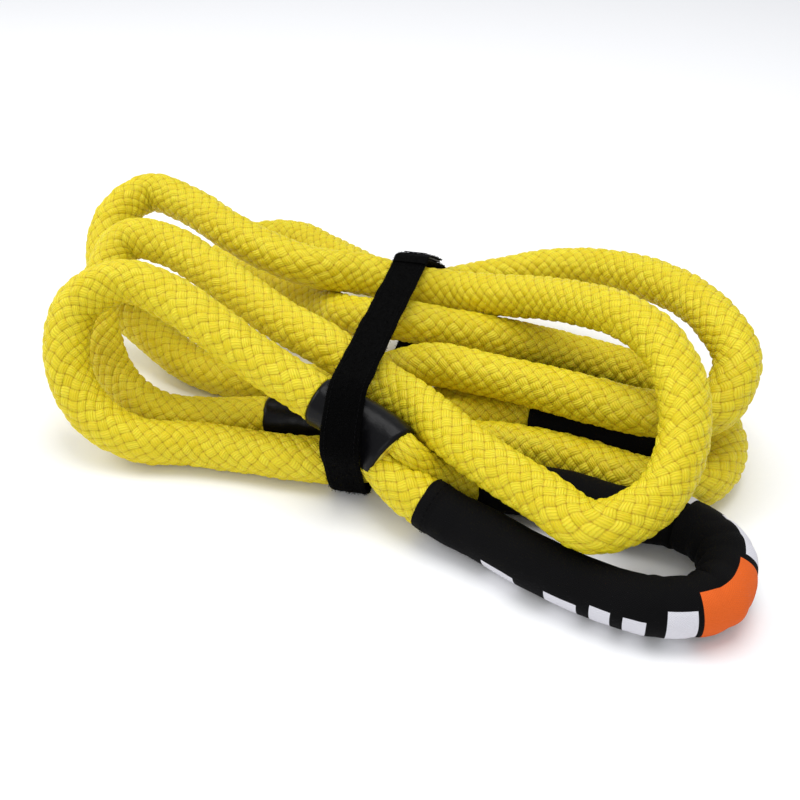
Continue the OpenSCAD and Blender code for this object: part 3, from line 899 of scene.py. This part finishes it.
# The tab is the strap's own end: it leaves the strap's face over the crown and lifts off it
# towards the root of the peel
crown = min(range(len(loop_path)), key=lambda i: (loop_path[i] - TAB_ROOT).length)
if (loop_path[crown - 1] - loop_path[crown]).dot(TAB_DIR) > 0:
    loop_path.reverse()
    loop_outs.reverse()
    crown = len(loop_path) - 1 - crown
tab_line, tab_outs = [], []
for k in range(9, 2, -1):
    p, o = loop_path[crown - k], loop_outs[crown - k]
    tab_line.append(p + (STRAP_T / 2 + TAB_T / 2 - 0.5 * MM + 0.09 * (9 - k) * MM) * o)
    tab_outs.append(o)
for k in range(2, 31):
    s = TAB_LEN * k / 30
    settle = min(1.0, s / (14 * MM))
    lift = HOOK_T + 0.1 * MM + TAB_T / 2 - 0.5 * MM * (1 - settle)
    tab_line.append(TAB_ROOT + s * TAB_DIR + lift * TAB_OUT)
    tab_outs.append(TAB_OUT)
tab_line = smooth(tab_line, 3)
tab_outs = [tab_outs[min(i // 3, len(tab_outs) - 1)].lerp(
    tab_outs[min(i // 3 + 1, len(tab_outs) - 1)], i % 3 / 3).normalized()
    for i in range(len(tab_line))]
tab = ribbon("strap_tab_webbing", tab_line, tab_outs, STRAP_W, TAB_T, PILE, False, 0.6 * MM, 11)
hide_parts("strap_tab")
tab_fuzz = fuzz("strap_tab_pile_fibres", tab, 300000, 0.9 * MM, 6)
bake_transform(tab)
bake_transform(tab_fuzz)


def hooks_tree():
    """Rows of small bent hooks on a flat strip."""
    tree, given, out = tree_with("moulded_hooks", ("Length", "Width", "Spacing", "Height"))
    size = given.outputs
    rows = add(tree, MATH,
        [add(tree, MATH, [size["Length"], size["Spacing"]], operation="DIVIDE"), 1],
        operation="ADD")
    columns = add(tree, MATH,
        [add(tree, MATH, [size["Width"], size["Spacing"]], operation="DIVIDE"), 1],
        operation="ADD")
    grid = add(tree, "GeometryNodeMeshGrid", {
        "Size X": size["Length"], "Size Y": size["Width"],
        "Vertices X": rows, "Vertices Y": columns})
    stem = add(tree, "GeometryNodeCurveQuadraticBezier", {
        "Resolution": 4, "Start": (-0.3, 0, 0), "Middle": (-0.3, 0, 1.5), "End": (0.5, 0, 0.55)})
    profile = add(tree, "GeometryNodeCurvePrimitiveCircle", {"Resolution": 4, "Radius": 0.16},
                  mode="RADIUS")
    hook = add(tree, "GeometryNodeCurveToMesh", {
        "Curve": stem.outputs[0], "Profile Curve": profile.outputs[0], "Fill Caps": True})
    stood = add(tree, "GeometryNodeInstanceOnPoints", {
        "Points": grid.outputs[0], "Instance": hook.outputs[0], "Scale": size["Height"]})
    finish_tree(tree, out, stood.outputs[0], HOOK)
    return tree


strip_mid = TAB_ROOT + (3 * MM + (TAB_LEN - 6 * MM) / 2) * TAB_DIR
base = put("base", bpy.data.meshes.new("base"))
hooks_mesh = grown("strap_tab_hook_rows", base, hooks_tree(), {
    "Length": TAB_LEN - 9 * MM, "Width": STRAP_W - 5 * MM, "Spacing": 1.5 * MM, "Height": 0.9 * MM})
turn = Matrix((TAB_DIR, STRAP_N, -TAB_OUT)).transposed()
if turn.determinant() < 0:
    turn = Matrix((TAB_DIR, -STRAP_N, -TAB_OUT)).transposed()
hooks_mesh.transform(Matrix.Translation(strip_mid + 0.05 * MM * TAB_OUT) @ turn.to_4x4())
hooks = put("strap_tab_hook_rows", hooks_mesh)
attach(hooks, "strap_tab")


# ---------------------------------------------------------------- stitching
def stitch_tree():
    """Stitches along a line: a round-ended thread every so far, dipping in at both ends."""
    tree, given, out = tree_with("stitch_row", ("Spacing", "Stitch Length", "Thread"))
    size = given.outputs
    spots = add(tree, "GeometryNodeCurveToPoints", {
        "Curve": size["Geometry"], "Length": size["Spacing"]}, mode="LENGTH")
    ball = add(tree, "GeometryNodeMeshUVSphere", {"Segments": 6, "Rings": 4, "Radius": 0.5})
    scale = add(tree, "ShaderNodeCombineXYZ", {
        0: size["Thread"], 1: size["Thread"], 2: size["Stitch Length"]})
    stood = add(tree, "GeometryNodeInstanceOnPoints", {
        "Points": spots.outputs["Points"], "Instance": ball.outputs[0],
        "Rotation": spots.outputs["Rotation"], "Scale": scale.outputs[0]})
    soft = add(tree, "GeometryNodeSetShadeSmooth", {
        "Geometry": add(tree, "GeometryNodeRealizeInstances", {0: stood.outputs[0]}).outputs[0]})
    finish_tree(tree, out, soft.outputs[0], THREAD)
    return tree


STITCHES = stitch_tree()


def stitches(name, line, body, spacing=2.6 * MM, length=2.1 * MM, thread=0.5 * MM):
    mesh = grown(name, line_object(line), STITCHES, {
        "Spacing": spacing, "Stitch Length": length, "Thread": thread})
    obj = put(name, mesh)
    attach(obj, body)
    return obj


# Two rows along the strap, close to its edges
for side, edge in (("front", -1), ("back", 1)):
    row = [p + (STRAP_T / 2 + 0.05 * MM) * o + edge * 7.6 * MM * STRAP_N
           for p, o in zip(loop_path, loop_outs)]
    stitches(f"strap_{side}_edge_stitching", row + row[:1], "hank")

# A cross and a three-sided box of stitching where the hook strip is sewn under the tab
face = HOOK_T + 0.1 * MM + TAB_T + 0.12 * MM


def on_tab(s, n):
    return TAB_ROOT + s * MM * TAB_DIR + n * MM * STRAP_N + face * TAB_OUT


stitches("strap_tab_cross_stitching", resampled(
    [on_tab(4.5, -5.5), on_tab(15.5, 5.5)], 1 * MM), "strap_tab")
stitches("strap_tab_cross_stitching_back", resampled(
    [on_tab(4.5, 5.5), on_tab(15.5, -5.5)], 1 * MM), "strap_tab")
stitches("strap_tab_edge_stitching", resampled(
    [on_tab(20, -7.6), on_tab(43, -7.6), on_tab(43, 7.6), on_tab(20, 7.6)], 1 * MM), "strap_tab")

# Hem stitching round each end of each sleeve
for key, line, marks, body in (("a", sleeve_a_line, sleeve_a_marks, "eye_a"),
                               ("b", sleeve_b_line, sleeve_b_marks, "hank")):
    for end, i in (("start", 6), ("far", len(line) - 7)):
        t, side, third = marks[i]
        row = [line[i] + 13.75 * MM * (math.cos(a) * side + math.sin(a) * third)
               for a in (2 * math.pi * k / 60 for k in range(61))]
        stitches(f"sleeve_{key}_{end}_hem_stitching", row, body, 3.2 * MM, 2.4 * MM, 0.5 * MM)

# ---------------------------------------------------------------- finishes of the kept pieces
for node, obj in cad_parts.items():
    if node.endswith(("_core", "_tail", "_throat")):
        finish = CORE
    elif node.endswith(("_lock_stitch", "_stitching")):
        finish = THREAD
    elif node.endswith("_hooks"):
        finish = HOOK
    else:
        continue
    obj.data.materials.clear()
    obj.data.materials.append(finish)


# ---------------------------------------------------------------- floor and light
def floor_paint():
    material, tree, shader = surface("matt_white_board", "#FAFAFA", 0.7)
    position = add(tree, "ShaderNodeTexCoord").outputs["Object"]
    grain = add(tree, "ShaderNodeTexNoise", {"Vector": position, "Scale": 300.0})
    wire(tree, shader, {
        "Base Color": add(tree, MIX, {0: grain.outputs["Fac"], 6: "#FBFBFB", 7: "#F8F8F8"},
            data_type="RGBA").outputs[2]})
    return material


bm = bmesh.new()
bmesh.ops.create_grid(bm, x_segments=1, y_segments=1, size=4)
floor_mesh = bpy.data.meshes.new("floor")
bm.to_mesh(floor_mesh)
bm.free()
floor = put("floor", floor_mesh, floor_paint())

world = bpy.data.worlds.new("room")
world.use_nodes = True
world.node_tree.nodes["Background"].inputs["Color"].default_value = linear("#F3F5FA")
world.node_tree.nodes["Background"].inputs["Strength"].default_value = 0.66
bpy.context.scene.world = world


def lamp(name, place, power, size, colour):
    data = bpy.data.lights.new(name, "AREA")
    data.energy, data.size, data.color = power, size, linear(colour)[:3]
    obj = bpy.data.objects.new(name, data)
    obj.location = place
    obj.rotation_euler = (Vector((0, 0, 0.03)) - Vector(place)).to_track_quat("-Z", "Y").to_euler()
    bpy.context.scene.collection.objects.link(obj)


lamp("overhead_softbox", (0.05, 0.15, 1.3), 9.5, 0.9, "#FFFFFF")
lamp("left_softbox", (-1.0, -0.5, 0.8), 5.5, 0.6, "#FFFFFF")
lamp("front_fill", (0.6, -1.1, 0.7), 3.2, 0.7, "#FFFFFF")
bpy.context.scene.view_settings.view_transform = "Standard"

# ---------------------------------------------------------------- the end
bpy.context.view_layer.update()
